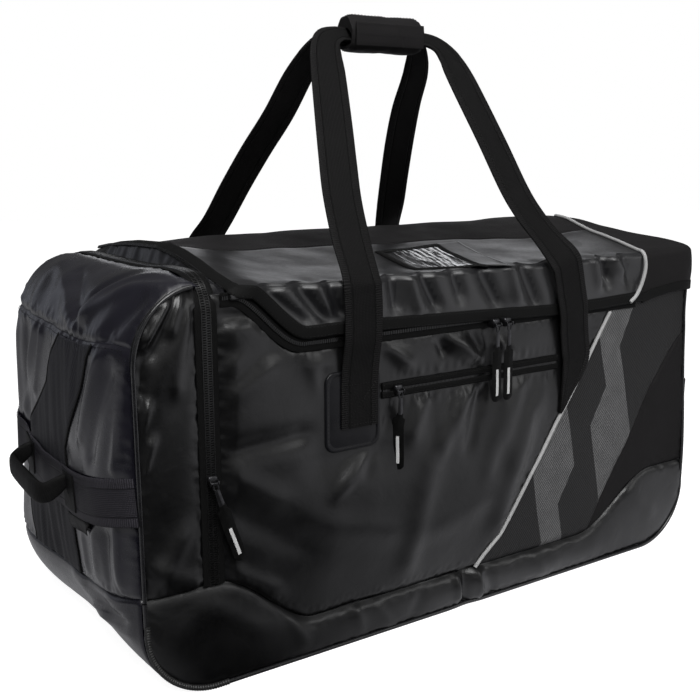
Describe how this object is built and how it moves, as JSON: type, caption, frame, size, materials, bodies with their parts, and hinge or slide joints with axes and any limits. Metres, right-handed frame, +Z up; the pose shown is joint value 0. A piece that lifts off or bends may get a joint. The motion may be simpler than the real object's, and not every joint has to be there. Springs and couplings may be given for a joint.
{
  "type": "hockey equipment bag",
  "caption": "Large soft holdall with a zipped hinged lid, a zipped skate pocket in one end, a zipped front pocket, webbing carry handles joined by a padded wrap, and end grab handles.",
  "frame": {"origin": "centre of the bounding box at floor level, under the middle of the base", "axes": "+X along the length towards the right end, away from the skate pocket; +Y from the front face to the rear face; +Z up"},
  "size_m": [0.951, 0.432, 0.7321],
  "materials": {
    "coated": "satin, coated tarpaulin",
    "lid_coated": "satin, coated tarpaulin",
    "nylon": "matte woven",
    "lining": "matte woven",
    "mesh": "matte open weave",
    "webbing": "matte ribbed weave",
    "wrap": "matte padded",
    "zip_tape": "matte",
    "zip_metal": "satin black",
    "pull": "matte",
    "piping": "satin",
    "reflective": "reflective silver",
    "wear_rubber": "matte ribbed",
    "window": "clear gloss",
    "label": "matte woven"
  },
  "bodies": {
    "bag": {"base_gusset": "coated", "front_guard": "coated", "rear_guard": "coated", "front_panel": "coated", "mesh_vent_panel": "mesh", "right_corner_panel": "nylon", "rear_panel": "coated", "right_end_panel": "coated", "divider_panel": "lining", "top_left_strip": "coated", "front_pocket_pouch": "lining", "pocket_zip_tape": "zip_tape", "lid_zip_body_tape": "zip_tape", "skate_zip_body_tape": "zip_tape", "front_left_patch": "coated", "rear_left_patch": "coated", "rear_right_patch": "coated", "front_left_strap": "webbing", "front_right_strap": "webbing", "rear_left_strap": "webbing", "rear_right_strap": "webbing", "right_band": "webbing", "reflective_piping": "reflective", "front_edge_piping": "piping", "rear_edge_piping": "piping", "corner_wear_guards": "wear_rubber"},
    "lid": {"lid_top_panel": "lid_coated", "lid_rear_strip": "nylon", "lid_front_skirt": "coated", "lid_hood": "nylon", "lid_hood_front": "nylon", "lid_binding": "webbing", "lid_piping": "reflective", "id_window": "window", "id_frame": "coated", "lid_zip_lid_tape": "zip_tape"},
    "end_flap": {"end_panel": "coated", "end_vent_strip": "mesh", "flap_front_gusset": "coated", "flap_rear_gusset": "coated", "flap_top_gusset": "coated", "end_band": "webbing", "end_label": "label", "skate_zip_flap_tape": "zip_tape", "flap_piping": "piping"},
    "front_handle": {"front_loop": "webbing", "grip_wrap": "wrap"},
    "rear_handle": {"rear_loop": "webbing"},
    "wrap_flap": {"grip_flap": "wrap"},
    "pocket_slider": {"pocket_slider": "zip_metal"},
    "pocket_pull": {"pocket_pull": "pull"},
    "lid_slider_left": {"lid_slider_left": "zip_metal"},
    "lid_pull_left": {"lid_pull_left": "pull"},
    "lid_slider_right": {"lid_slider_right": "zip_metal"},
    "lid_pull_right": {"lid_pull_right": "pull"},
    "skate_slider": {"skate_slider": "zip_metal"},
    "skate_pull": {"skate_pull": "pull"},
    "end_grab": {"end_grab_handle": "webbing"},
    "right_grab": {"right_grab_handle": "webbing"}
  },
  "joints": [
    {"name": "lid_hinge", "type": "hinge", "parent": "bag", "child": "lid", "pos_m": [0, 0.198, 0.43], "axis": [-1, 0, 0], "range_deg": [0, 110], "deforming": ["front_loop", "rear_loop"]},
    {"name": "front_handle_swing", "type": "hinge", "parent": "bag", "child": "front_handle", "pos_m": [0, -0.2125, 0.43], "axis": [1, 0, 0], "range_deg": [0, 209]},
    {"name": "rear_handle_swing", "type": "hinge", "parent": "bag", "child": "rear_handle", "pos_m": [0, 0.2125, 0.43], "axis": [-1, 0, 0], "range_deg": [0, 209]},
    {"name": "wrap_flap_hinge", "type": "hinge", "parent": "front_handle", "child": "wrap_flap", "pos_m": [0.011, -0.0236, 0.72215], "axis": [-1, 0, 0], "range_deg": [0, 150]},
    {"name": "end_flap_hinge", "type": "hinge", "parent": "bag", "child": "end_flap", "pos_m": [-0.415, 0, 0.12], "axis": [0, -1, 0], "range_deg": [0, 95]},
    {"name": "lid_left_slide", "type": "slide", "parent": "bag", "child": "lid_slider_left", "axis": [1, 0, 0], "range_m": [-0.155, 0]},
    {"name": "lid_left_pull_swing", "type": "hinge", "parent": "lid_slider_left", "child": "lid_pull_left", "pos_m": [0.036, -0.216, 0.362], "axis": [-1, 0, 0], "range_deg": [0, 150]},
    {"name": "lid_right_slide", "type": "slide", "parent": "bag", "child": "lid_slider_right", "axis": [1, 0, 0], "range_m": [0, 0.06]},
    {"name": "lid_right_pull_swing", "type": "hinge", "parent": "lid_slider_right", "child": "lid_pull_right", "pos_m": [0.054, -0.216, 0.362], "axis": [-1, 0, 0], "range_deg": [0, 150]},
    {"name": "pocket_slide", "type": "slide", "parent": "bag", "child": "pocket_slider", "axis": [1, 0, 0], "range_m": [0, 0.24]},
    {"name": "pocket_pull_swing", "type": "hinge", "parent": "pocket_slider", "child": "pocket_pull", "pos_m": [-0.102, -0.21, 0.299], "axis": [-1, 0, 0], "range_deg": [0, 150]},
    {"name": "skate_slide", "type": "slide", "parent": "bag", "child": "skate_slider", "axis": [0, 0, 1], "range_m": [-0.1, 0.175]},
    {"name": "skate_pull_swing", "type": "hinge", "parent": "skate_slider", "child": "skate_pull", "pos_m": [-0.335, -0.21, 0.235], "axis": [-1, 0, 0], "range_deg": [0, 150]},
    {"name": "end_grab_swing", "type": "hinge", "parent": "end_flap", "child": "end_grab", "pos_m": [-0.4475, 0, 0.217], "axis": [0, 1, 0], "range_deg": [-55, 55]},
    {"name": "right_grab_swing", "type": "hinge", "parent": "bag", "child": "right_grab", "pos_m": [0.4475, 0, 0.217], "axis": [0, 1, 0], "range_deg": [-55, 55]}
  ],
  "couplings": [
    {"joint": "front_handle_swing", "follows": "lid_hinge", "ratio": 1.9},
    {"joint": "rear_handle_swing", "follows": "lid_hinge", "ratio": 1.9},
    {"joint": "wrap_flap_hinge", "follows": "lid_hinge", "ratio": 1.36}
  ]
}
